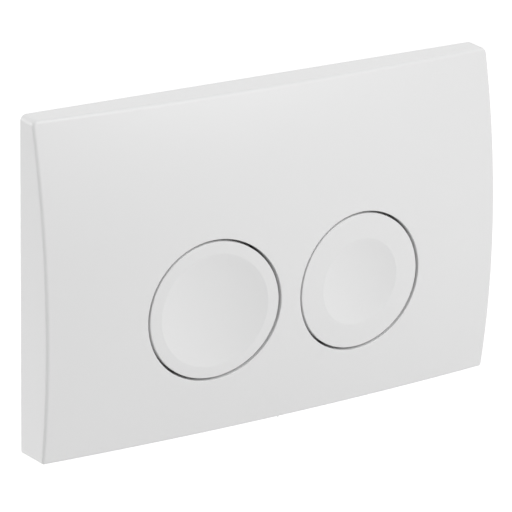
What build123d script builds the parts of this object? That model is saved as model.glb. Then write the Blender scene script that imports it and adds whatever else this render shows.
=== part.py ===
"""Dual flush button plate for a concealed cistern, with its springs, mounting frame and push rods."""
import os
from math import cos, pi, radians, sin, sqrt, tan

from build123d import *

# The origin is on the finished wall at the middle of the plate. +X is to the right, +Z is up and the
# face looks towards -Y. Every distance called front or rear is measured in front of the wall, in
# millimetres, so a piece behind the wall has a negative one.

# Cover plate
plate_width = 246.0
plate_height = 164.0
cover_wall = 2.5
top_corner_radius = 3.0
bottom_corner_radius = 1.5
front_edge_radius = 1.2
bottom_draft = 6.0
hole_edge_chamfer = 0.35
rib_thickness = 1.4
rib_height = 4.0
rib_rows = 3
rib_columns = 5

# Bulge of the face: one upright arc at the middle and one at each side, with a loft between them
middle_bulge = 34.85
middle_bulge_height = -14.0
middle_bulge_radius = 256.0
side_bulge = 24.85
side_bulge_height = -22.5
side_bulge_radius = 398.0
form_overrun = 12.0

# Buttons
button_spacing = 79.5
button_height = -15.9
button_radius = 33.35
button_gap = 1.2
button_recess = 0.5
button_travel = 6.0
button_wall = 2.0
button_edge_chamfer = 0.35
dish_edge_radius = 2.0
full_dish_radius = 27.6
full_dish_depth = 4.4
half_dish_radius = 21.4
half_dish_depth = 3.2
collar_wall = 2.0
collar_rear = 20.0
flange_thickness = 2.0
flange_overlap = 1.6
stem_radius = 6.0
stem_bore_depth = 9.0
blade_length = 6.0
blade_thickness = 1.6
blade_circle = 23.0
web_thickness = 1.4
web_height = 4.0
web_count = 6

# Stop rings
stop_ring_thickness = 1.0
stop_ring_clearance = 0.2

# Spring carriers and the cover's clips that hold them
carrier_thickness = 2.5
carrier_clearance = 0.5
carrier_hub_radius = 14.0
carrier_arms = 3
carrier_arm_width = 10.0
sleeve_wall = 2.0
sleeve_length = 6.5
sliding_clearance = 0.08
blade_clearance = 0.2
clip_post_length = 5.0
clip_post_width = 8.0
clip_post_gap = 1.4
clip_tongue_length = 2.0
clip_tongue_width = 4.0
clip_slot_clearance = 0.2
clip_barb_height = 1.6
clip_barb_angle = 25.0
clip_barb_clearance = 0.1

# Return springs
spring_wire = 1.2
spring_wire_sides = 6
spring_clearance = 0.5
spring_turns = 4.5
spring_chords = 20
spring_seat_height = 1.2
spring_root_height = 2.0
spring_end_clearance = 0.05

# Push rods, adjusters, tips and guides
rod_radius = 3.5
rod_reach = 46.0
rod_fit = 0.05
nut_radius = 7.0
nut_thickness = 5.0
nut_proud = 0.5
nut_grooves = 8
nut_groove_width = 1.8
damper_radius = 5.0
damper_cap = 2.0
damper_grip = 6.0
damper_edge_chamfer = 1.2
guide_wall = 2.5
guide_flange_radius = 9.0
guide_flange_thickness = 1.5
guide_length = 7.0
guide_hole_clearance = 0.05

# Mounting frame
frame_margin = 12.0
frame_bar_width = 15.0
frame_depth = 6.0
frame_floor = 2.0
frame_wall = 2.0
frame_corner_radius = 6.0
frame_collar = 14.0
frame_rib_pitch = 26.0
bridge_front = -9.0
bridge_thickness = 2.5
bridge_margin = 1.5
bridge_edge_height = 4.0
hook_spacing = 140.0
hook_width = 18.0
hook_thickness = 2.2
hook_depth = 4.5
hook_rear = 0.9
hook_clearance = 0.3
hook_chamfer = 0.6

# Spacer bolts and their nuts
bolt_spacing = 144.0
bolt_shank_radius = 4.5
bolt_shank_proud = 0.5
bolt_tail_radius = 4.0
bolt_reach = 42.0
bolt_end_chamfer = 1.0
bolt_hole_clearance = 0.5
bolt_slot_play = 4.0
bolt_washer_radius = 10.0
bolt_washer_thickness = 2.0
bolt_head_radius = 7.0
bolt_head_height = 4.5
bolt_socket_radius = 3.0
bolt_socket_depth = 3.0
lock_nut_radius = 7.5
lock_nut_height = 5.0
lock_nut_fit = 0.05

# Sizes that follow from these
half_width = plate_width / 2
half_height = plate_height / 2
hole_radius = button_radius + button_gap
collar_radius = hole_radius + collar_wall
flange_radius = hole_radius + flange_overlap
flange_front = collar_rear - stop_ring_thickness
carrier_front = flange_front - flange_thickness - button_travel - carrier_clearance
carrier_rear = carrier_front - carrier_thickness
stem_rear = carrier_rear - nut_proud
sleeve_bore = stem_radius + sliding_clearance
sleeve_radius = sleeve_bore + sleeve_wall
clip_circle = flange_radius + clip_post_gap + clip_post_length / 2
arm_reach = clip_circle + clip_post_length / 2
spring_radius = sleeve_radius + spring_clearance + spring_wire / 2
seat_radius = spring_radius + spring_wire / 2 + spring_clearance
frame_width = plate_width - 2 * frame_margin
frame_height = plate_height - 2 * frame_margin
window_width = frame_width - 2 * frame_bar_width
window_height = frame_height - 2 * frame_bar_width
bridge_rear = bridge_front - bridge_thickness
guide_radius = rod_radius + sliding_clearance + guide_wall
sides = {"full": -1, "half": 1}
dishes = {"full": (full_dish_radius, full_dish_depth), "half": (half_dish_radius, half_dish_depth)}

os.makedirs("parts", exist_ok=True)


def button_middle(side):
    """X and Z of a button's middle."""
    return (side * button_spacing / 2, button_height)


def button_axis(side):
    """Line that a button and everything in line with it shares, pointing to the rear."""
    x, z = button_middle(side)
    return Axis((x, 0, z), (0, 1, 0))


def turning_plane(axis):
    """Plane through an axis for half profiles: its x is the radius and its y the distance in front."""
    return Plane(origin=axis.position, x_dir=(1, 0, 0), z_dir=(0, 0, -1))


def on_arms(radius, side):
    """Places at one radius on a carrier's arms, of which one points away from the other button."""
    return PolarLocations(radius, carrier_arms, start_angle=90 - 90 * side)


def finish(builder, name):
    """Labels a finished piece and writes it."""
    builder.part.label = name
    export_step(builder.part, f"parts/{name}.step")


# Everything behind the bulged face, larger than the plate all round, so that each piece that shares
# the face is trimmed by the same surface
form_reach = half_width + form_overrun
form_depth = middle_bulge + form_overrun
form_height = plate_height + 2 * form_overrun
with BuildPart() as face_form:
    for station in (-form_reach, 0, form_reach):
        share = (station / half_width) ** 2
        depth = middle_bulge + (side_bulge - middle_bulge) * share
        height = middle_bulge_height + (side_bulge_height - middle_bulge_height) * share
        radius = 1 / ((1 - share) / middle_bulge_radius + share / side_bulge_radius)
        with BuildSketch(Plane.YZ.offset(station)):
            with Locations((radius - depth, height)):
                Circle(radius)
            with Locations((form_overrun - form_depth / 2 - form_overrun / 2, 0)):
                Rectangle(form_depth + form_overrun, form_height, mode=Mode.INTERSECT)
    loft()
face = face_form.faces().sort_by(Axis.Y)[0]


def plate_block(inset, rear):
    """Block with the plate's outline, drawn in by inset, with the bottom wall's draft."""
    rise = tan(radians(bottom_draft))
    front = -form_depth
    top = half_height - inset
    bottom = inset - half_height
    with BuildPart() as block:
        with BuildSketch(Plane.YZ):
            with BuildLine():
                Polyline(
                    (rear, top), (front, top), (front, bottom - front * rise), (rear, bottom - rear * rise),
                    close=True,
                )
            make_face()
        extrude(amount=half_width - inset, both=True)
    return block.part


def dish_block(name, wall):
    """What a button's dish takes away, with a wall added round it: an arc across, turned about a level line.

    Both radii make up for the bulge of the face, so that the rim of the dish is round.
    """
    rim_radius, depth = dishes[name]
    middle, normal = face.find_intersection_points(button_axis(sides[name]))[0]
    middle += Vector(0, button_recess, 0)
    bend = 2 * depth / rim_radius**2
    bend_across = bend - 2 * (middle_bulge - side_bulge) / half_width**2
    bend_up = bend - 1 / middle_bulge_radius
    arc_radius = 1 / bend_across + wall
    arc_reach = rim_radius + form_overrun
    arc_low = -depth - wall
    arc_high = arc_low + arc_radius - sqrt(arc_radius**2 - arc_reach**2)
    level = Plane(origin=middle, x_dir=(1, 0, 0), z_dir=normal).x_dir
    with BuildPart() as block:
        with BuildSketch(Plane(origin=middle, x_dir=level, z_dir=level.cross(normal))):
            with BuildLine():
                arc = ThreePointArc((-arc_reach, arc_high), (0, arc_low), (arc_reach, arc_high))
                Line(arc @ 1, arc @ 0)
            make_face()
        revolve(axis=Axis(middle + normal * (1 / bend_up - depth), level))
    return block.part


# Cover plate: the hollow and what stands in it come first, then the shell
hole_points = [button_middle(side) for side in sides.values()]
barb_front = carrier_rear - clip_barb_clearance
barb_rear = barb_front - clip_barb_height
frame_top = frame_height / 2
hook_end = frame_top - hook_depth
hook_root = half_height - cover_wall / 2

with BuildPart() as hollow:
    add(plate_block(cover_wall, form_overrun))
    with Locations((0, cover_wall, 0)):
        add(face_form.part, mode=Mode.INTERSECT)

with BuildPart() as ribs:
    with BuildSketch(Plane.XZ):
        with GridLocations(plate_width / (rib_columns + 1), 0, rib_columns, 1):
            Rectangle(rib_thickness, plate_height)
        with GridLocations(0, plate_height / (rib_rows + 1), 1, rib_rows):
            Rectangle(plate_width, rib_thickness)
    extrude(amount=form_depth)
    add(plate_block(cover_wall / 2, form_overrun), mode=Mode.INTERSECT)
    with Locations((0, cover_wall / 2, 0)):
        add(face_form.part, mode=Mode.INTERSECT)
    with Locations((0, cover_wall + rib_height, 0)):
        add(face_form.part, mode=Mode.SUBTRACT)

with BuildPart() as posts:
    with BuildSketch(Plane.XZ.offset(collar_rear)):
        with Locations(*hole_points):
            Circle(collar_radius)
    extrude(amount=form_depth)
    for side in sides.values():
        with BuildSketch(Plane.XZ.offset(carrier_front)):
            with Locations(button_middle(side)), on_arms(clip_circle, side):
                Rectangle(clip_post_length, clip_post_width)
        extrude(amount=form_depth)
        with BuildSketch(Plane.XZ.offset(barb_front)):
            with Locations(button_middle(side)), on_arms(clip_circle, side):
                Rectangle(clip_tongue_length, clip_tongue_width)
        extrude(amount=form_depth)
        with BuildSketch(Plane.XZ.offset(barb_rear)):
            with Locations(button_middle(side)), on_arms(clip_circle, side):
                Rectangle(clip_tongue_length, clip_tongue_width)
        extrude(amount=clip_barb_height, taper=-clip_barb_angle)
    with Locations((0, cover_wall / 2, 0)):
        add(face_form.part, mode=Mode.INTERSECT)

with BuildPart() as hooks:
    with BuildSketch(Plane.XZ.offset(hook_rear)):
        with Locations(*[(x, (hook_end + hook_root) / 2) for x in (-hook_spacing / 2, hook_spacing / 2)]):
            Rectangle(hook_width, hook_root - hook_end)
    extrude(amount=hook_thickness)
    chamfer(hooks.faces().group_by(Axis.Z)[0].edges().filter_by(Axis.X), hook_chamfer)
    mirror(about=Plane.XY)

with BuildPart() as cover_plate:
    add(plate_block(0, 0))
    top_wall = cover_plate.faces().sort_by(Axis.Z)[-1]
    bottom_wall = cover_plate.faces().sort_by(Axis.Z)[0]
    fillet(top_wall.edges().filter_by(Axis.Y), top_corner_radius)
    fillet(bottom_wall.edges().filter_by(Axis.X, reverse=True), bottom_corner_radius)
    add(face_form.part, mode=Mode.INTERSECT)
    fillet(cover_plate.faces().sort_by(Axis.Y)[0].edges(), front_edge_radius)
    add(hollow.part, mode=Mode.SUBTRACT)
    add(ribs.part)
    add(posts.part)
    add(hooks.part)
    with BuildSketch(Plane.XZ):
        with Locations(*hole_points):
            Circle(hole_radius)
    extrude(amount=form_depth, mode=Mode.SUBTRACT)
    rims = cover_plate.faces().sort_by(Axis.Y)[0].inner_wires().edges()
    chamfer(rims, hole_edge_chamfer)
finish(cover_plate, "cover_plate")

# Buttons: caps of the same form, a little behind the face, each with a dish square to it at its middle
seat_fronts = {}
for name, side in sides.items():
    centre = button_middle(side)
    dish_depth = dishes[name][1]
    face_point = face.find_intersection_points(button_axis(side))[0][0]
    seat_front = -face_point.Y - button_recess - dish_depth - button_wall - spring_seat_height
    seat_fronts[name] = seat_front
    skirt_bore = button_radius - button_wall
    web_inner = seat_radius - spring_clearance / 2
    web_outer = skirt_bore + button_wall / 2

    with BuildPart() as button_hollow:
        with BuildSketch(Plane.XZ):
            with Locations(centre):
                Circle(skirt_bore)
        extrude(amount=form_depth)
        with Locations((0, button_recess + button_wall, 0)):
            add(face_form.part, mode=Mode.INTERSECT)
        add(dish_block(name, button_wall), mode=Mode.SUBTRACT)

    with BuildPart() as button_posts:
        with BuildSketch(Plane.XZ):
            with Locations(centre):
                with PolarLocations((web_inner + web_outer) / 2, web_count):
                    Rectangle(web_outer - web_inner, web_thickness)
        extrude(amount=form_depth)
        with Locations((0, button_recess + dish_depth + button_wall + web_height, 0)):
            add(face_form.part, mode=Mode.SUBTRACT)
        with BuildSketch(Plane.XZ.offset(seat_front)):
            with Locations(centre):
                Circle(seat_radius)
        extrude(amount=form_depth)
        with BuildSketch(Plane.XZ.offset(seat_front - spring_root_height)):
            with Locations(centre):
                Circle(sleeve_radius)
        extrude(amount=form_depth)
        with BuildSketch(Plane.XZ.offset(stem_rear)):
            with Locations(centre):
                Circle(stem_radius)
        extrude(amount=form_depth)
        with BuildSketch(Plane.XZ.offset(carrier_rear)):
            with Locations(centre), on_arms(blade_circle, side):
                Rectangle(blade_length, blade_thickness)
        extrude(amount=form_depth)
        with Locations((0, button_recess + button_wall / 2, 0)):
            add(face_form.part, mode=Mode.INTERSECT)
        add(dish_block(name, button_wall / 2), mode=Mode.SUBTRACT)

    with BuildPart() as button:
        with BuildSketch(Plane.XZ.offset(flange_front - flange_thickness)):
            with Locations(centre):
                Circle(button_radius)
        extrude(amount=form_depth)
        with Locations((0, button_recess, 0)):
            add(face_form.part, mode=Mode.INTERSECT)
        chamfer(button.faces().sort_by(Axis.Y)[0].edges(), button_edge_chamfer)
        add(dish_block(name, 0), mode=Mode.SUBTRACT)
        rim_face = button.faces().filter_by(lambda item: item.inner_wires()).sort_by(Axis.Y)[0]
        fillet(rim_face.inner_wires().edges(), dish_edge_radius)
        add(button_hollow.part, mode=Mode.SUBTRACT)
        with BuildSketch(Plane.XZ.offset(flange_front - flange_thickness)):
            with Locations(centre):
                Circle(flange_radius)
                Circle(skirt_bore, mode=Mode.SUBTRACT)
        extrude(amount=flange_thickness)
        add(button_posts.part)
        with BuildSketch(Plane.XZ.offset(stem_rear)):
            with Locations(centre):
                Circle(rod_radius + rod_fit)
        extrude(amount=stem_bore_depth, mode=Mode.SUBTRACT)
    finish(button, f"{name}_flush_button")

# Stop rings on the ends of the cover's collars
for name, side in sides.items():
    with BuildPart() as stop_ring:
        with BuildSketch(Plane.XZ.offset(flange_front)):
            with Locations(button_middle(side)):
                Circle(collar_radius)
                Circle(hole_radius + stop_ring_clearance, mode=Mode.SUBTRACT)
        extrude(amount=stop_ring_thickness)
    finish(stop_ring, f"{name}_stop_ring")

# Spring carriers: a sleeve for the stem on arms, with slots for the button's blades and the cover's clips
for name, side in sides.items():
    centre = button_middle(side)
    blade_slot = (blade_length + 2 * blade_clearance, blade_thickness + 2 * blade_clearance)
    clip_slot = (clip_tongue_length + 2 * clip_slot_clearance, clip_tongue_width + 2 * clip_slot_clearance)
    with BuildPart() as carrier:
        with BuildSketch(Plane.XZ.offset(carrier_rear)):
            with Locations(centre):
                Circle(carrier_hub_radius)
            with Locations(centre), on_arms(arm_reach / 2, side):
                Rectangle(arm_reach, carrier_arm_width)
        extrude(amount=carrier_thickness)
        with BuildSketch(Plane.XZ.offset(carrier_front)):
            with Locations(centre):
                Circle(sleeve_radius)
        extrude(amount=sleeve_length)
        with BuildSketch(Plane.XZ.offset(carrier_rear)):
            with Locations(centre):
                Circle(sleeve_bore)
            with Locations(centre), on_arms(blade_circle, side):
                Rectangle(*blade_slot)
            with Locations(centre), on_arms(clip_circle, side):
                Rectangle(*clip_slot)
        extrude(amount=carrier_thickness + sleeve_length, mode=Mode.SUBTRACT)
    finish(carrier, f"{name}_spring_carrier")

# Return springs, with their ends ground flat: each turn is a ring of chords, which keeps the mesh light
for name, side in sides.items():
    x, z = button_middle(side)
    spring_rear = carrier_front + spring_end_clearance
    spring_front = seat_fronts[name] - spring_end_clearance
    chord_count = round(spring_turns * spring_chords)
    chord_rise = (spring_front - spring_rear) / chord_count
    chord_angle = 2 * pi / spring_chords
    coil_points = []
    for step in range(chord_count + 1):
        across = x + spring_radius * cos(step * chord_angle)
        up = z + spring_radius * sin(step * chord_angle)
        coil_points.append((across, -spring_rear - step * chord_rise, up))
    with BuildPart() as spring:
        with BuildLine() as coil:
            Polyline(*coil_points)
        with BuildSketch(Plane(origin=coil.line @ 0, z_dir=coil.line % 0)):
            RegularPolygon(spring_wire / 2, spring_wire_sides)
        sweep(transition=Transition.RIGHT)
        split(bisect_by=Plane.XZ.offset(spring_front), keep=Keep.BOTTOM)
        split(bisect_by=Plane.XZ.offset(spring_rear), keep=Keep.TOP)
    finish(spring, f"{name}_return_spring")

# Push rods with their adjusters, tips and guides
for name, side in sides.items():
    axis = button_axis(side)
    centre = button_middle(side)
    rod_front = stem_rear + stem_bore_depth - rod_fit
    rod_bore = rod_radius + rod_fit
    with BuildPart() as rod:
        with BuildSketch(Plane.XZ.offset(-rod_reach)):
            with Locations(centre):
                Circle(rod_radius)
        extrude(amount=rod_reach + rod_front)
    finish(rod, f"{name}_push_rod")

    with BuildPart() as rod_nut:
        with BuildSketch(Plane.XZ.offset(stem_rear - nut_thickness)):
            with Locations(centre):
                Circle(nut_radius)
                Circle(rod_bore, mode=Mode.SUBTRACT)
                with PolarLocations(nut_radius, nut_grooves):
                    Rectangle(nut_groove_width, nut_groove_width, rotation=45, mode=Mode.SUBTRACT)
        extrude(amount=nut_thickness)
    finish(rod_nut, f"{name}_rod_nut")

    tip_front = damper_grip - rod_reach
    tip_floor = -rod_reach - rod_fit
    tip_rear = -rod_reach - damper_cap
    with BuildPart() as damper:
        with BuildSketch(turning_plane(axis)):
            with BuildLine():
                Polyline(
                    (0, tip_rear), (damper_radius, tip_rear), (damper_radius, tip_front),
                    (rod_bore, tip_front), (rod_bore, tip_floor), (0, tip_floor), close=True,
                )
            outline = make_face()
            chamfer(outline.vertices().group_by(Axis.Y)[0].sort_by(Axis.X)[-1], damper_edge_chamfer)
        revolve(axis=axis)
    finish(damper, f"{name}_rod_damper")

    bush_front = bridge_front + guide_flange_thickness
    bush_rear = bridge_front - guide_length
    bush_bore = rod_radius + sliding_clearance
    with BuildPart() as guide:
        with BuildSketch(turning_plane(axis)):
            with BuildLine():
                Polyline(
                    (bush_bore, bush_front), (guide_flange_radius, bush_front),
                    (guide_flange_radius, bridge_front), (guide_radius, bridge_front),
                    (guide_radius, bush_rear), (bush_bore, bush_rear), close=True,
                )
            make_face()
        revolve(axis=axis)
    finish(guide, f"{name}_rod_guide")

# Mounting frame: a ribbed channel round the service window, a collar into the wall and a bridge
bridge_top = bolt_washer_radius + bridge_margin + frame_wall
bridge_bottom = button_height - guide_flange_radius - bridge_margin - frame_wall
bridge_height = bridge_top - bridge_bottom
bridge_middle = (bridge_top + bridge_bottom) / 2
bar_x = (frame_width - frame_bar_width) / 2
bar_z = (frame_height - frame_bar_width) / 2
notch_depth = hook_depth + hook_clearance
notch_front = hook_rear + hook_thickness + hook_clearance
bolt_points = [(-bolt_spacing / 2, 0), (bolt_spacing / 2, 0)]
slot_height = 2 * (bolt_shank_radius + bolt_hole_clearance)
with BuildPart() as mounting_frame:
    with BuildSketch(Plane.XZ):
        RectangleRounded(frame_width, frame_height, frame_corner_radius)
        Rectangle(window_width, window_height, mode=Mode.SUBTRACT)
    extrude(amount=frame_floor)
    with BuildSketch(Plane.XZ):
        RectangleRounded(frame_width, frame_height, frame_corner_radius)
        RectangleRounded(
            frame_width - 2 * frame_wall, frame_height - 2 * frame_wall, frame_corner_radius - frame_wall,
            mode=Mode.SUBTRACT,
        )
        for edge in (-bar_z, bar_z):
            with Locations((0, edge)):
                with GridLocations(frame_rib_pitch, 0, int(window_width // frame_rib_pitch), 1):
                    Rectangle(frame_wall, frame_bar_width)
        for edge in (-bar_x, bar_x):
            with Locations((edge, 0)):
                with GridLocations(0, frame_rib_pitch, 1, int(window_height // frame_rib_pitch)):
                    Rectangle(frame_bar_width, frame_wall)
    extrude(amount=frame_depth)
    with BuildSketch(Plane.XZ.offset(-frame_collar)):
        Rectangle(window_width + 2 * frame_wall, window_height + 2 * frame_wall)
        Rectangle(window_width, window_height, mode=Mode.SUBTRACT)
    extrude(amount=frame_collar + frame_depth)
    with BuildSketch(Plane.XZ.offset(bridge_rear)):
        with Locations((0, bridge_middle)):
            Rectangle(window_width + frame_wall, bridge_height)
    extrude(amount=bridge_thickness)
    with BuildSketch(Plane.XZ.offset(bridge_rear)):
        with Locations((0, bridge_middle)):
            with GridLocations(0, bridge_height - frame_wall, 1, 2):
                Rectangle(window_width + frame_wall, frame_wall)
    extrude(amount=bridge_thickness + bridge_edge_height)
    with BuildSketch(Plane.XZ.offset(bridge_rear)):
        with Locations(*hole_points):
            Circle(guide_radius + guide_hole_clearance)
        with Locations(*bolt_points):
            SlotOverall(slot_height + bolt_slot_play, slot_height)
    extrude(amount=bridge_thickness, mode=Mode.SUBTRACT)
    with BuildSketch(Plane.XZ):
        with GridLocations(hook_spacing, frame_height - notch_depth, 2, 2):
            Rectangle(hook_width + 2 * hook_clearance, notch_depth)
    extrude(amount=notch_front, mode=Mode.SUBTRACT)
finish(mounting_frame, "mounting_frame")

# Spacer bolts through the bridge: washer face, hexagon head with a socket, shank and threaded tail
washer_front = bridge_front + bolt_washer_thickness
head_front = washer_front + bolt_head_height
nut_rear = bridge_rear - lock_nut_height
shank_rear = nut_rear - bolt_shank_proud
with BuildPart() as spacer_bolts:
    with BuildSketch(Plane.XZ.offset(-bolt_reach)):
        with Locations(*bolt_points):
            Circle(bolt_tail_radius)
    extrude(amount=bolt_reach + shank_rear)
    chamfer(spacer_bolts.faces().group_by(Axis.Y)[-1].edges(), bolt_end_chamfer)
    with BuildSketch(Plane.XZ.offset(shank_rear)):
        with Locations(*bolt_points):
            Circle(bolt_shank_radius)
    extrude(amount=bridge_front - shank_rear)
    with BuildSketch(Plane.XZ.offset(bridge_front)):
        with Locations(*bolt_points):
            Circle(bolt_washer_radius)
    extrude(amount=bolt_washer_thickness)
    with BuildSketch(Plane.XZ.offset(washer_front)):
        with Locations(*bolt_points):
            RegularPolygon(bolt_head_radius, 6)
    extrude(amount=bolt_head_height)
    with BuildSketch(Plane.XZ.offset(head_front - bolt_socket_depth)):
        with Locations(*bolt_points):
            RegularPolygon(bolt_socket_radius, 6)
    extrude(amount=bolt_socket_depth, mode=Mode.SUBTRACT)
finish(spacer_bolts, "spacer_bolts")

with BuildPart() as bolt_lock_nuts:
    with BuildSketch(Plane.XZ.offset(nut_rear)):
        with Locations(*bolt_points):
            RegularPolygon(lock_nut_radius, 6)
            Circle(bolt_shank_radius + lock_nut_fit, mode=Mode.SUBTRACT)
    extrude(amount=lock_nut_height)
finish(bolt_lock_nuts, "bolt_lock_nuts")
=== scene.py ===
"""Dual flush plate for a concealed cistern, dressed for its looks. Meshes are made in millimetres."""

from math import asin, ceil, cos, hypot, pi, radians, sin, tan

import bmesh
import bpy
from mathutils import Matrix, Vector


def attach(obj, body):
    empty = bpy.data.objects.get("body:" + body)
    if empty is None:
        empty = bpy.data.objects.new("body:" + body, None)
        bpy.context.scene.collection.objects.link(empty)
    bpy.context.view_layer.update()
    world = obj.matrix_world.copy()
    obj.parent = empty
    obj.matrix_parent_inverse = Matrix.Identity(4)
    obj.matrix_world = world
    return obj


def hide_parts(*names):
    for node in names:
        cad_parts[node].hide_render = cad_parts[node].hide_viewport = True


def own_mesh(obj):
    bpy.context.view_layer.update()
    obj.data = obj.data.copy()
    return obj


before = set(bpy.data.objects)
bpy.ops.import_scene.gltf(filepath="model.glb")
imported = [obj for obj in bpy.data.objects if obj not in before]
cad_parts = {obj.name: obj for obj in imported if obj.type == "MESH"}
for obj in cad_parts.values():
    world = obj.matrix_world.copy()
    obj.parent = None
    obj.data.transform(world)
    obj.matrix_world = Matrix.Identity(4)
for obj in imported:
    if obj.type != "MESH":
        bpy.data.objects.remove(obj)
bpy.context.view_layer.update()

# Mounting frame: the channel that the spacer bolts hold against the wall and the cover hooks over.
# It is injection moulded in grey filled plastic, with ribs across the channel, a collar that goes
# into the wall opening and a bridge that carries the bolts and the rod guides.
frame_edge = 0.14


class Signal:
    """One socket of a material's nodes: operators on it add Math nodes, and node() adds any other node."""

    def __init__(self, tree, socket=None):
        self.tree = tree
        self.socket = socket

    def node(self, kind, settings, inputs, output=0):
        """Adds a node: its settings come first, then the values or links of its sockets."""
        made = self.tree.nodes.new(kind)
        for name, value in settings.items():
            setattr(made, name, value)
        for name, value in inputs.items():
            if isinstance(value, Signal):
                self.tree.links.new(value.socket, made.inputs[name])
            else:
                made.inputs[name].default_value = value
        return Signal(self.tree, made.outputs[output])

    def feeds(self, target, name):
        """Links this socket to an input of a shader."""
        self.tree.links.new(self.socket, target.inputs[name])

    def __add__(self, other):
        return self.node("ShaderNodeMath", {"operation": "ADD"}, {0: self, 1: other})

    def __radd__(self, other):
        return self.node("ShaderNodeMath", {"operation": "ADD"}, {0: other, 1: self})

    def __sub__(self, other):
        return self.node("ShaderNodeMath", {"operation": "SUBTRACT"}, {0: self, 1: other})

    def __rsub__(self, other):
        return self.node("ShaderNodeMath", {"operation": "SUBTRACT"}, {0: other, 1: self})

    def __mul__(self, other):
        return self.node("ShaderNodeMath", {"operation": "MULTIPLY"}, {0: self, 1: other})

    def __rmul__(self, other):
        return self.node("ShaderNodeMath", {"operation": "MULTIPLY"}, {0: other, 1: self})


def new_finish(name):
    """A node material, its shader and the place on the piece that its patterns read."""
    finish = bpy.data.materials.new(name)
    finish.use_nodes = True
    tree = finish.node_tree
    place = Signal(tree).node("ShaderNodeTexCoord", {}, {}, "Object")
    return finish, tree.nodes["Principled BSDF"], place


def mottle(place, scale, detail):
    """Noise over a piece, with its scale in patches to the metre."""
    return place.node("ShaderNodeTexNoise", {}, {"Vector": place, "Scale": scale, "Detail": detail})


def tint(share, first, second):
    """A colour between two others, by a share that varies over the piece."""
    colours = {0: share, 6: (*first, 1.0), 7: (*second, 1.0)}
    return share.node("ShaderNodeMix", {"data_type": "RGBA"}, colours, 2)


def relief(height, strength, depth):
    """A fine relief in the surface, with its depth in metres."""
    return height.node("ShaderNodeBump", {}, {"Height": height, "Strength": strength, "Distance": depth})


def moulded_plastic(name, colour, shade, roughness, grain_size, grain_depth):
    """Plastic as it leaves the mould: faint flow clouds in the colour, a fine grain and uneven gloss."""
    finish, shader, place = new_finish(name)
    clouds = mottle(place, scale=38.0, detail=4.0)
    grain = mottle(place, scale=1 / grain_size, detail=2.0)
    tint(clouds, colour, shade).feeds(shader, "Base Color")
    (roughness + 0.12 * (grain - 0.5) + 0.06 * (clouds - 0.5)).feeds(shader, "Roughness")
    relief(grain, strength=0.6, depth=grain_depth).feeds(shader, "Normal")
    return finish


def merged_copy(node):
    """A CAD node's triangles in millimetres, merged, with the flat faces joined."""
    flat_angle = radians(0.4)
    solid = bmesh.new()
    solid.from_mesh(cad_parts[node].data)
    bmesh.ops.scale(solid, vec=(1000, 1000, 1000), verts=solid.verts)
    bmesh.ops.remove_doubles(solid, verts=solid.verts, dist=0.002)
    bmesh.ops.dissolve_limit(solid, angle_limit=flat_angle, verts=solid.verts, edges=solid.edges)
    return solid


def round_edges(solid, edges, edge_radius, steps, clamped=True):
    """Rounds edges in a number of steps, clamped where their roundings would meet."""
    bmesh.ops.bevel(
        solid, geom=edges, offset=edge_radius, offset_type="OFFSET", segments=steps, profile=0.5,
        affect="EDGES", clamp_overlap=clamped, material=-1,
    )


def soften(solid, edge_radius, clamped=True):
    """Rounds the sharp edges of a moulded piece, as its mould does."""
    sharp_angle = radians(28)
    sharp = [edge for edge in solid.edges if edge.calc_face_angle(0.0) > sharp_angle]
    round_edges(solid, sharp, edge_radius, 2, clamped)


def finished(solid, name, finishes, body, slot, *nodes):
    """Makes a mesh in millimetres a piece in metres, which rides on a body and stands for CAD nodes.

    Its broad faces set the shading at their rounded edges.
    """
    crease_angle = radians(38)
    bmesh.ops.scale(solid, vec=(0.001, 0.001, 0.001), verts=solid.verts)
    for face in solid.faces:
        face.smooth = True
    for edge in solid.edges:
        edge.smooth = edge.calc_face_angle(0.0) < crease_angle
    mesh = bpy.data.meshes.new(name)
    solid.to_mesh(mesh)
    solid.free()
    if "custom_normal" in mesh.attributes:
        mesh.attributes.remove(mesh.attributes["custom_normal"])
    mesh.materials.clear()
    for finish in finishes:
        mesh.materials.append(finish)
    piece = bpy.data.objects.new(name, mesh)
    bpy.context.scene.collection.objects.link(piece)
    evened = piece.modifiers.new("evened_shading", "WEIGHTED_NORMAL")
    evened.keep_sharp = True
    evened.weight = 80
    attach(piece, body)
    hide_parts(*nodes)
    return piece


frame_grey = moulded_plastic(
    "frame_grey", colour=(0.53, 0.54, 0.55), shade=(0.58, 0.59, 0.60), roughness=0.52,
    grain_size=0.0006, grain_depth=0.00004,
)
frame_body = merged_copy("mounting_frame")
# Clamping would leave this frame's edges sharp, and its shortest edge is over twice the radius.
soften(frame_body, frame_edge, clamped=False)
finished(frame_body, "moulded_frame", [frame_grey], "plate", "frame_plastic", "mounting_frame")

# Spacer bolts: two long plastic bolts that screw into the cistern and set the frame's depth in the wall.
# Each is moulded in one, with a washer face, a hexagon head with a socket, a shank and a threaded tail.
bolt_across = 72.0
bolt_edge = 0.25
shank_trim = 0.05
tail_front = 17.0
tail_rear = 42.0
tail_crest = 4.0
tail_root = 3.35
tail_pitch = 2.0
tail_lead = 1.3
tail_chamfer = 0.6
thread_sunk = 0.4
lead_sunk = 0.5


def cut_square(solid, level, direction):
    """Cuts a form square across Y and takes off what lies beyond, to the rear or with -1 to the front."""
    bmesh.ops.bisect_plane(
        solid, geom=solid.verts[:] + solid.edges[:] + solid.faces[:], plane_co=(0, level, 0),
        plane_no=(0, direction, 0), clear_outer=True,
    )


def add_mesh(solid, other):
    """Adds another mesh to a piece's mesh."""
    held = bpy.data.meshes.new("held")
    other.to_mesh(held)
    other.free()
    solid.from_mesh(held)
    bpy.data.meshes.remove(held)


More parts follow.
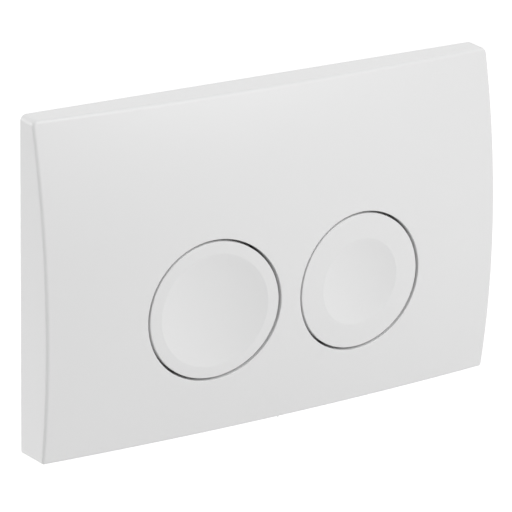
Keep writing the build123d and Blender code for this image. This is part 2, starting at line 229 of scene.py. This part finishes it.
def add_thread(solid, across, up, crest, root, front, rear, pitch):
    """Adds a thread along Y: one pitch of its profile, spun along a helix and cut square at both ends."""
    steps_round = 28
    crest_start = 0.40 * pitch
    crest_end = 0.58 * pitch
    thread = bmesh.new()
    turns = ceil((rear - front) / pitch) + 2
    start = front - pitch
    profile = [(root, 0.0), (crest, crest_start), (crest, crest_end), (root, pitch)]
    points = [thread.verts.new((across + radius, start + along, up)) for radius, along in profile]
    lines = [thread.edges.new(pair) for pair in zip(points, points[1:])]
    bmesh.ops.spin(
        thread, geom=points + lines, cent=(across, 0, up), axis=(0, 1, 0),
        dvec=(0, pitch / steps_round, 0), angle=2 * pi * turns, steps=steps_round * turns, use_merge=False,
    )
    bmesh.ops.remove_doubles(thread, verts=thread.verts, dist=0.01)
    cut_square(thread, front, -1)
    cut_square(thread, rear, 1)
    bmesh.ops.holes_fill(thread, edges=thread.edges, sides=0)
    bmesh.ops.recalc_face_normals(thread, faces=thread.faces)
    add_mesh(solid, thread)


def add_turned(solid, across, up, profile):
    """Adds a turned form along Y: a line of radii and places, from axis to axis, spun round it."""
    steps_round = 56
    touching = 0.001
    points = [solid.verts.new((across + radius, along, up)) for radius, along in profile]
    lines = [solid.edges.new(pair) for pair in zip(points, points[1:])]
    bmesh.ops.spin(
        solid, geom=points + lines, cent=(across, 0, up), axis=(0, 1, 0), dvec=(0, 0, 0),
        angle=2 * pi, steps=steps_round, use_merge=True,
    )
    on_axis = [vert for vert in solid.verts if hypot(vert.co.x - across, vert.co.z - up) < touching]
    bmesh.ops.remove_doubles(solid, verts=on_axis, dist=touching)
    bmesh.ops.recalc_face_normals(solid, faces=solid.faces)


rod_white = moulded_plastic(
    "rod_white", colour=(0.78, 0.78, 0.755), shade=(0.74, 0.74, 0.71), roughness=0.38,
    grain_size=0.0009, grain_depth=0.00002,
)
bolts = merged_copy("spacer_bolts")
cut_square(bolts, tail_front - shank_trim, 1)
bmesh.ops.holes_fill(bolts, edges=bolts.edges, sides=0)
soften(bolts, bolt_edge)
thread_end = tail_rear - tail_lead
lead_in = [
    (0.0, thread_end - lead_sunk), (tail_root, thread_end - lead_sunk), (tail_root, tail_rear - tail_chamfer),
    (tail_root - tail_chamfer, tail_rear), (0.0, tail_rear),
]
for side in (-1, 1):
    across = side * bolt_across
    add_thread(bolts, across, 0.0, tail_crest, tail_root, tail_front - thread_sunk, thread_end, tail_pitch)
    add_turned(bolts, across, 0.0, lead_in)
finished(bolts, "threaded_bolts", [rod_white], "plate", "rod_plastic", "spacer_bolts")

# Lock nuts and rod guides: the nuts lock the bolts behind the bridge, and the flanged bushes in it
# guide the push rods. All are moulded in blue acetal, which slides well and shows what may be turned.
lock_nut_edge = 0.35
bush_edge = 0.3
guide_blue = moulded_plastic(
    "guide_blue", colour=(0.17, 0.31, 0.49), shade=(0.20, 0.34, 0.52), roughness=0.38,
    grain_size=0.0007, grain_depth=0.00002,
)
lock_nuts = merged_copy("bolt_lock_nuts")
soften(lock_nuts, lock_nut_edge)
finished(lock_nuts, "hexagon_lock_nuts", [guide_blue], "plate", "guide_plastic", "bolt_lock_nuts")
for name in ("full", "half"):
    bush = merged_copy(f"{name}_rod_guide")
    soften(bush, bush_edge)
    finished(bush, f"{name}_guide_bush", [guide_blue], "plate", "guide_plastic", f"{name}_rod_guide")

# Cover plate: one white semi-gloss moulding with a face that bulges both ways and two button holes.
# Its sides run back to the wall, and inside it has ribs, collars round the holes, clips for the
# spring carriers and hooks that hang it on the frame.
half_width = 123.0
half_height = 82.0
top_corner = 3.0
bottom_corner = 1.5
corner_steps = 6
bottom_angle = radians(6.0)
bottom_slope = tan(bottom_angle)
slope_top = -70.0
front_edge = 1.45
front_steps = 6
border_ring = 1.5
button_across = 39.75
button_up = -15.9
hole_radius = 34.55
hole_edge = 0.35
hole_steps = 3
hole_lip = 0.7
collar_rear = -20.0
bulge_front = 34.85
bulge_height = -14.0
bulge_radius = 256.0
side_recess = 10.0
side_lower = 8.5
side_radius = 398.0
form_reach = 135.0
form_edge = 94.0
side_share = (form_reach / half_width) ** 2
middle_arc = (bulge_front, bulge_height, bulge_radius)
side_arc = (
    bulge_front - side_recess * side_share,
    bulge_height - side_lower * side_share,
    1 / ((1 - side_share) / bulge_radius + side_share / side_radius),
)
long_edge = 20.0
middle_step = 2.4
border_step = 4.2
spoke_cuts = 12
near = 0.01
near_rim = 0.1


def face_depth(x, z):
    """How far the bulged face stands in front of the wall.

    It is an upright arc at the middle, blended to another one at each side. A short search finds the
    place along both arcs that lies at the height.
    """
    share = (x / form_reach) ** 2
    arcs = []
    for weight, (front, height, radius) in ((1 - share, middle_arc), (share, side_arc)):
        low = asin((-form_edge - height) / radius)
        span = asin((form_edge - height) / radius) - low
        arcs.append((weight, front, height, radius, low, span))
    along = (z + form_edge) / (2 * form_edge)
    for _ in range(5):
        reached = 0.0
        slope = 0.0
        depth = 0.0
        for weight, front, height, radius, low, span in arcs:
            angle = low + span * along
            reached += weight * (height + radius * sin(angle))
            slope += weight * radius * cos(angle) * span
            depth += weight * (front - radius * (1 - cos(angle)))
        along += (z - reached) / slope
    return depth


def bottom_edge(x):
    """Height of the face's lower edge, where the sloped bottom wall meets the bulge."""
    height = -half_height
    for _ in range(6):
        height = -half_height + bottom_slope * face_depth(x, height)
    return height


def white_gloss(name):
    """White semi-gloss moulding: a barely clouded white, an orange-peel skin and slightly uneven gloss."""
    finish, shader, place = new_finish(name)
    clouds = mottle(place, scale=14.0, detail=3.0)
    skin = mottle(place, scale=900.0, detail=1.0)
    tint(clouds, (0.84, 0.84, 0.84), (0.855, 0.855, 0.855)).feeds(shader, "Base Color")
    (0.33 + 0.05 * (clouds - 0.5) + 0.02 * (skin - 0.5)).feeds(shader, "Roughness")
    relief(skin, strength=0.12, depth=0.00001).feeds(shader, "Normal")
    return finish


def extruded(solid, edges):
    """Extrudes edges, and gives the new vertices and faces."""
    made = bmesh.ops.extrude_edge_only(solid, edges=edges)["geom"]
    verts = [item for item in made if isinstance(item, bmesh.types.BMVert)]
    faces = [item for item in made if isinstance(item, bmesh.types.BMFace)]
    return verts, faces


plate_white = white_gloss("plate_white")
# The bore behind each hole's lip is painted dark grey. This is painted shade for the deep gap round the
# buttons, where the moulding itself is white.
painted_shade_bore = moulded_plastic(
    "painted_shade_bore", colour=(0.13, 0.13, 0.13), shade=(0.11, 0.11, 0.11), roughness=0.7,
    grain_size=0.0005, grain_depth=0.00003,
)
# The right half's outline is a grid's one face, with its corners rounded and its edges divided.
shell = bmesh.new()
corners = bmesh.ops.create_grid(shell, x_segments=1, y_segments=1, size=1.0)["verts"]
for vert in corners:
    vert.co = Vector((half_width if vert.co.x > 0 else 0.0, 0.0, half_height * vert.co.y))
for corner_radius, rise in ((top_corner, 1), (bottom_corner, -1)):
    corner = [
        vert for vert in shell.verts
        if vert.co.x > half_width - near and vert.co.z * rise > half_height - near
    ]
    bmesh.ops.bevel(
        shell, geom=corner, offset=corner_radius, offset_type="OFFSET", segments=corner_steps, profile=0.5,
        affect="VERTICES", clamp_overlap=True, material=-1,
    )
bmesh.ops.delete(shell, geom=shell.faces[:], context="FACES_ONLY")
for edge in shell.edges[:]:
    if edge.calc_length() > long_edge:
        at_middle = max(abs(vert.co.x) for vert in edge.verts) < near
        step = middle_step if at_middle else border_step
        bmesh.ops.subdivide_edges(shell, edges=[edge], cuts=round(edge.calc_length() / step))
for vert in shell.verts:
    if vert.co.z < -half_height + bottom_corner + near:
        vert.co.z += half_height + bottom_edge(vert.co.x)
# Extruded in to the hole, it makes a fan of faces, which is mirrored and gets a ring along its borders.
hole_middle = Vector((button_across, 0.0, button_up))
for vert in extruded(shell, shell.edges[:])[0]:
    vert.co = hole_middle + hole_radius * (vert.co - hole_middle).normalized()
bmesh.ops.mirror(shell, geom=shell.verts[:] + shell.edges[:] + shell.faces[:], axis="X", merge_dist=0.001)
bmesh.ops.remove_doubles(shell, verts=shell.verts, dist=0.001)
fan_faces = shell.faces[:]
bmesh.ops.recalc_face_normals(shell, faces=fan_faces)
bmesh.ops.inset_region(
    shell, faces=fan_faces, thickness=border_ring, use_boundary=True, use_even_offset=True
)


def hole_distance(point):
    """Distance from a point to the axis of the nearer button."""
    return hypot(abs(point.x) - button_across, point.z - button_up)


def nearer_hole(vert):
    """Whether a vertex belongs to the ring round a hole."""
    return hole_distance(vert.co) < hole_radius + border_ring + near_rim


# Divided along its spokes, the fan then takes the bulge.
fan_edges = {edge for face in fan_faces for edge in face.edges}
spokes = [edge for edge in fan_edges if nearer_hole(edge.verts[0]) != nearer_hole(edge.verts[1])]
bmesh.ops.subdivide_edges(shell, edges=spokes, cuts=spoke_cuts, use_grid_fill=True)
for vert in shell.verts:
    vert.co.y = -face_depth(vert.co.x, vert.co.z)


def add_bore(solid, rim, lip, rear):
    """Runs a round rim back in two steps: a lip in the same finish, then a bore in the second finish, a dark
    grey that is painted shade for the deep gap.
    """
    for vert in extruded(solid, rim)[0]:
        vert.co.y += lip
    lip_edges = [
        edge for edge in solid.edges
        if edge.is_boundary and hole_distance(edge.verts[0].co) < hole_radius + near_rim
    ]
    verts, faces = extruded(solid, lip_edges)
    for vert in verts:
        vert.co.y = rear
    for face in faces:
        face.material_index = 1


borders = [edge for edge in shell.edges if edge.is_boundary]
hole_rims = [edge for edge in borders if hole_distance(edge.verts[0].co) < hole_radius + near_rim]
outer_rim = [edge for edge in borders if edge not in set(hole_rims)]
for vert in extruded(shell, outer_rim)[0]:
    vert.co.y = 0.0
    if vert.co.z < slope_top:
        low = bottom_edge(vert.co.x)
        vert.co.z -= (half_height + low) * (vert.co.z - slope_top) / (low - slope_top)
add_bore(shell, hole_rims, hole_lip, collar_rear)
round_edges(shell, outer_rim, front_edge, front_steps)
round_edges(shell, hole_rims, hole_edge, hole_steps)


def outside_cover(face):
    """Whether a face of the CAD cover lies on its outer skin or in a button hole."""
    bore_wall = 0.3
    skin_wall = 0.95
    point = face.calc_center_median()
    if face.normal.y > 0.99 and min(abs(point.y), abs(point.y - collar_rear)) < near:
        return False
    if hole_distance(point) < hole_radius + bore_wall:
        return True
    bottom = (point.z + half_height + point.y * bottom_slope) * cos(bottom_angle)
    front = point.y + face_depth(point.x, point.z)
    return min(half_width - abs(point.x), half_height - point.z, bottom, front) < skin_wall


def join_inside(solid, other, outer_faces, levels):
    """Joins a skin to the inside of its CAD form, less the outer faces, by flat rims at levels along Y."""
    bmesh.ops.delete(other, geom=outer_faces, context="FACES")
    old_rims = {face for edge in other.edges if edge.is_boundary for face in edge.link_faces}
    bmesh.ops.delete(other, geom=list(old_rims), context="FACES")
    add_mesh(solid, other)
    for level in levels:
        open_loops = [
            edge for edge in solid.edges
            if edge.is_boundary and all(abs(vert.co.y - level) < near for vert in edge.verts)
        ]
        bmesh.ops.triangle_fill(solid, edges=open_loops, use_beauty=True, normal=(0, 1, 0))
    bmesh.ops.recalc_face_normals(solid, faces=solid.faces)


inside = merged_copy("cover_plate")
join_inside(shell, inside, [face for face in inside.faces if outside_cover(face)], (0.0, collar_rear))
finished(shell, "bulged_cover", [plate_white, painted_shade_bore], "plate", "white_plastic", "cover_plate")

# Buttons: two round caps moulded in the cover's white, each cut from the same bulged face, with a
# shallow dish for the finger. The full flush has the wide dish. Behind, each has a skirt with a stop
# flange, stiffening webs, guide blades, a spring seat and a stem that takes the push rod.
cap_radius = 33.35
cap_recess = 0.5
cap_lip = 0.8
cap_edge = 0.4
cap_steps = 120
dish_edge = 0.28
dish_rings = 12
rim_rings = 4
edge_steps = 4
flange_front = -19.0
flange_slack = 0.05
top_wall = 0.9
skirt_wall = 0.4
dishes = {"full": (-1, 27.6, 4.4), "half": (1, 21.4, 3.2)}


def cap_front(point, dish_radius, dish_depth):
    """Where the front of a cap lies along Y, with its dish."""
    dished = dish_depth * max(0.0, 1 - (hole_distance(point) / dish_radius) ** 2)
    return cap_recess - face_depth(point.x, point.z) + dished


for name, (side, dish_radius, dish_depth) in dishes.items():
    across = side * button_across
    cap = bmesh.new()
    radii = [dish_radius * step / dish_rings for step in range(dish_rings + 1)]
    radii += [dish_radius + (cap_radius - dish_radius) * step / rim_rings for step in range(1, rim_rings + 1)]
    points = [cap.verts.new((across + radius, 0.0, button_up)) for radius in radii]
    lines = [cap.edges.new(pair) for pair in zip(points, points[1:])]
    bmesh.ops.spin(
        cap, geom=points + lines, cent=(across, 0, button_up), axis=(0, 1, 0), dvec=(0, 0, 0),
        angle=2 * pi, steps=cap_steps, use_merge=True,
    )
    bmesh.ops.remove_doubles(cap, verts=cap.verts, dist=0.001)
    for vert in cap.verts:
        vert.co.y = cap_front(vert.co, dish_radius, dish_depth)
    skirt_rim = [edge for edge in cap.edges if edge.is_boundary]
    # Behind its lip, the cap's skirt takes the same dark grey painted shade of the gap.
    add_bore(cap, skirt_rim, cap_lip, flange_front)
    dish_rim = [
        edge for edge in cap.edges
        if all(abs(hole_distance(vert.co) - dish_radius) < near for vert in edge.verts)
    ]
    round_edges(cap, skirt_rim, cap_edge, edge_steps)
    round_edges(cap, dish_rim, dish_edge, edge_steps)
    behind = merged_copy(f"{name}_flush_button")
    outer_faces = []
    for face in behind.faces:
        point = face.calc_center_median()
        front = cap_front(point, dish_radius, dish_depth)
        on_top = point.y < front + top_wall and face.normal.y < 0
        on_skirt = hole_distance(point) > cap_radius - skirt_wall and point.y < flange_front - flange_slack
        if on_top or on_skirt:
            outer_faces.append(face)
    join_inside(cap, behind, outer_faces, (flange_front,))
    finished(
        cap, f"{name}_dished_button", [plate_white, painted_shade_bore], f"{name}_flush", "white_plastic",
        f"{name}_flush_button",
    )

# Stop rings: black rubber rings on the ends of the cover's collars, which the buttons' flanges come
# back to without a click. They are cut from tube and held by their own grip.
ring_edge = 0.25


def soft_rubber(name):
    """Matte rubber: nearly black, bloomed to grey in patches, with a fine dull grain."""
    finish, shader, place = new_finish(name)
    bloom = mottle(place, scale=120.0, detail=5.0)
    grain = mottle(place, scale=2400.0, detail=2.0)
    tint(bloom, (0.035, 0.035, 0.036), (0.075, 0.074, 0.072)).feeds(shader, "Base Color")
    (0.68 + 0.2 * (bloom - 0.5)).feeds(shader, "Roughness")
    relief(grain, strength=0.5, depth=0.00003).feeds(shader, "Normal")
    return finish


rubber_black = soft_rubber("rubber_black")
for name in dishes:
    ring = merged_copy(f"{name}_stop_ring")
    soften(ring, ring_edge)
    finished(ring, f"{name}_rubber_stop", [rubber_black], "plate", "rubber", f"{name}_stop_ring")

# Return springs: coils of drawn spring steel with closed ends ground flat, round each carrier's sleeve.
# Each pushes its button's spring seat to the front. In use it shortens by the stroke when pressed, but here
# it is drawn at one length on the plate.
coil_radius = 9.18
coil_steps = 40
wire_radius = 0.6
wire_sides = 14
coil_rear = -10.55
coil_fronts = {"full": -25.64, "half": -26.84}
end_turns = 1.0
end_pitch = 1.3
open_turns = 2.5


def drawn_steel(name):
    """Drawn spring wire: grey steel with fine streaks round the coil and a little dull oxide."""
    finish, shader, place = new_finish(name)
    stretched = place.node("ShaderNodeMapping", {}, {"Vector": place, "Scale": (160.0, 2600.0, 160.0)})
    streaks = mottle(stretched, scale=1.0, detail=3.0)
    oxide = mottle(place, scale=300.0, detail=4.0)
    shader.inputs["Metallic"].default_value = 1.0
    tint(oxide, (0.66, 0.66, 0.65), (0.50, 0.49, 0.47)).feeds(shader, "Base Color")
    (0.30 + 0.16 * streaks).feeds(shader, "Roughness")
    relief(streaks, strength=0.4, depth=0.00002).feeds(shader, "Normal")
    return finish


spring_grey = drawn_steel("spring_grey")
for name, (side, _, _) in dishes.items():
    across = side * button_across
    coil_front = coil_fronts[name]
    coil = bmesh.new()
    section = bmesh.ops.create_circle(coil, segments=wire_sides, radius=wire_radius, cap_ends=True)["verts"]
    bmesh.ops.translate(coil, vec=(across + coil_radius, coil_rear, button_up), verts=section)
    swept = coil.edges[:] + section
    open_pitch = (coil_rear - coil_front - 2 * end_turns * end_pitch) / open_turns
    for turns, pitch in ((end_turns, end_pitch), (open_turns, open_pitch), (end_turns, end_pitch)):
        swept = bmesh.ops.spin(
            coil, geom=swept, cent=(across, 0, button_up), axis=(0, 1, 0), dvec=(0, -pitch / coil_steps, 0),
            angle=2 * pi * turns, steps=round(coil_steps * turns), use_merge=False,
        )["geom_last"]
    bmesh.ops.remove_doubles(coil, verts=coil.verts, dist=0.001)
    bmesh.ops.holes_fill(coil, edges=coil.edges, sides=0)
    for level, direction in ((coil_rear, 1), (coil_front, -1)):
        cut_square(coil, level, direction)
        bmesh.ops.holes_fill(coil, edges=coil.edges, sides=0)
    bmesh.ops.recalc_face_normals(coil, faces=coil.faces)
    spring = finished(
        coil, f"{name}_coil_spring", [spring_grey], "plate", "spring_steel", f"{name}_return_spring"
    )
    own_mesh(spring)

# Spring carriers: three-armed bearings in the frame's grey, clipped over the cover's tongues. Each has
# a sleeve for the button's stem and slots that the button's blades slide in, and it seats the spring.
carrier_edge = 0.25
for name in dishes:
    carrier = merged_copy(f"{name}_spring_carrier")
    soften(carrier, carrier_edge)
    finished(
        carrier, f"{name}_clipped_carrier", [frame_grey], "plate", "frame_plastic", f"{name}_spring_carrier"
    )

# Push rods: moulded rods that reach from the buttons' stems to the valve's levers. The front of each
# is threaded for its adjuster, a blue knurled nut, and a rubber tip is pushed over the rear end.
rod_radius = 3.5
rod_root = 3.05
rod_front = -16.45
rod_thread_end = 1.0
rod_end = 46.0
rod_pitch = 1.5
rod_chamfer = 0.6
neck_step = 0.3
neck_rise = 0.45
grooves = (22.0, 26.0)
groove_width = 1.0
groove_depth = 0.25
adjuster_edge = 0.25
tip_edge = 0.35
neck_front = rod_thread_end - rod_chamfer
shank = [
    (0.0, neck_front), (rod_root - neck_step, neck_front), (rod_root, rod_thread_end),
    (rod_radius, rod_thread_end + neck_rise),
]
for groove in grooves:
    shank += [
        (rod_radius, groove),
        (rod_radius - groove_depth, groove + groove_depth),
        (rod_radius - groove_depth, groove + groove_width - groove_depth),
        (rod_radius, groove + groove_width),
    ]
shank += [(rod_radius, rod_end - rod_chamfer), (rod_radius - rod_chamfer, rod_end), (0.0, rod_end)]
for name, (side, _, _) in dishes.items():
    across = side * button_across
    rod = bmesh.new()
    add_thread(rod, across, button_up, rod_radius, rod_root, rod_front, rod_thread_end, rod_pitch)
    add_turned(rod, across, button_up, shank)
    finished(rod, f"{name}_threaded_rod", [rod_white], f"{name}_flush", "rod_plastic", f"{name}_push_rod")
    adjuster = merged_copy(f"{name}_rod_nut")
    soften(adjuster, adjuster_edge)
    finished(
        adjuster, f"{name}_knurled_nut", [guide_blue], f"{name}_flush", "guide_plastic", f"{name}_rod_nut"
    )
    tip = merged_copy(f"{name}_rod_damper")
    soften(tip, tip_edge)
    finished(tip, f"{name}_rubber_tip", [rubber_black], f"{name}_flush", "rubber", f"{name}_rod_damper")

# Studio: a floor of pale paper far below the plate, and surroundings that look white and light the
# plate less from the camera's side. Two square soft lamps hang before and behind it, and the camera
# stands at the front left and above.
floor_radius = 4.0
floor_sides = 96
floor_level = -0.7
background_glow = 0.6
floor_mesh = bmesh.new()
bmesh.ops.create_circle(floor_mesh, segments=floor_sides, radius=floor_radius, cap_ends=True)
bmesh.ops.translate(floor_mesh, vec=(0, 0, floor_level), verts=floor_mesh.verts)
floor_data = bpy.data.meshes.new("studio_floor")
floor_mesh.to_mesh(floor_data)
floor_mesh.free()
studio_floor = bpy.data.objects.new("studio_floor", floor_data)
bpy.context.scene.collection.objects.link(studio_floor)
floor_pale, floor_shader, floor_place = new_finish("floor_pale")
paper = mottle(floor_place, scale=40.0, detail=3.0)


def shown_rays(signal):
    """One for rays that show the background, also in a gloss or through glass, and nought for light."""
    seen = signal.node("ShaderNodeLightPath", {}, {}, "Is Camera Ray")
    for ray in ("Is Glossy Ray", "Is Transmission Ray"):
        other = signal.node("ShaderNodeLightPath", {}, {}, ray)
        seen = signal.node("ShaderNodeMath", {"operation": "MAXIMUM"}, {0: seen, 1: other})
    return seen


floor_shader.inputs["Base Color"].default_value = (0.82, 0.82, 0.82, 1.0)
floor_shader.inputs["Emission Strength"].default_value = 1.0
(0.85 + 0.1 * paper).feeds(floor_shader, "Roughness")
(background_glow * shown_rays(floor_place)).feeds(floor_shader, "Emission Color")
floor_data.materials.append(floor_pale)

surround_light = 0.6
dark_share = 0.36
dark_way = (-0.72, -0.69, 0.05)
world = bpy.data.worlds.new("studio_surround")
bpy.context.scene.world = world
world.use_nodes = True
surround = world.node_tree.nodes["Background"]
air = Signal(world.node_tree)
way = air.node("ShaderNodeTexCoord", {}, {}, "Generated")
toward = air.node("ShaderNodeVectorMath", {"operation": "DOT_PRODUCT"}, {0: way, 1: dark_way}, "Value")
dark_side = air.node("ShaderNodeMath", {"operation": "MAXIMUM"}, {0: toward, 1: 0.0})
light = surround_light - dark_share * (dark_side * dark_side)
shown = shown_rays(air)
(light + (1 - light) * shown).feeds(surround, "Color")

lamps = {
    "front_softbox": ((0.45, -1.55, 1.38), 1.6, 21.4),
    "left_softbox": ((-1.4, 1.2, 0.4), 1.0, 11.0),
}
for name, (place, size, power) in lamps.items():
    lamp_data = bpy.data.lights.new(name, "AREA")
    lamp_data.shape = "SQUARE"
    lamp_data.size = size
    lamp_data.energy = power
    lamp = bpy.data.objects.new(name, lamp_data)
    lamp.location = place
    lamp.rotation_euler = Vector(place).to_track_quat("Z", "Y").to_euler()
    bpy.context.scene.collection.objects.link(lamp)

turn = radians(32.484)
tilt = radians(20.534)
roll = radians(1.452)
picture_pixels = 512
focal_pixels = 3092.7
distance = 1.45944
aim = Vector((0.00229, 0.0, -0.007068))
backward = Vector((-sin(turn) * cos(tilt), -cos(turn) * cos(tilt), sin(tilt)))
rightward = Vector((cos(turn), -sin(turn), 0.0))
upward = backward.cross(rightward)
rolled = cos(roll) * rightward + sin(roll) * upward
raised = cos(roll) * upward - sin(roll) * rightward
camera_data = bpy.data.cameras.new("studio_camera")
camera_data.sensor_width = 36.0
camera_data.lens = focal_pixels / picture_pixels * camera_data.sensor_width
camera = bpy.data.objects.new("studio_camera", camera_data)
facing = Matrix((rolled, raised, backward)).transposed()
camera.matrix_world = Matrix.Translation(aim + backward * distance) @ facing.to_4x4()
bpy.context.scene.collection.objects.link(camera)
bpy.context.scene.camera = camera
bpy.context.scene.view_settings.view_transform = "Standard"
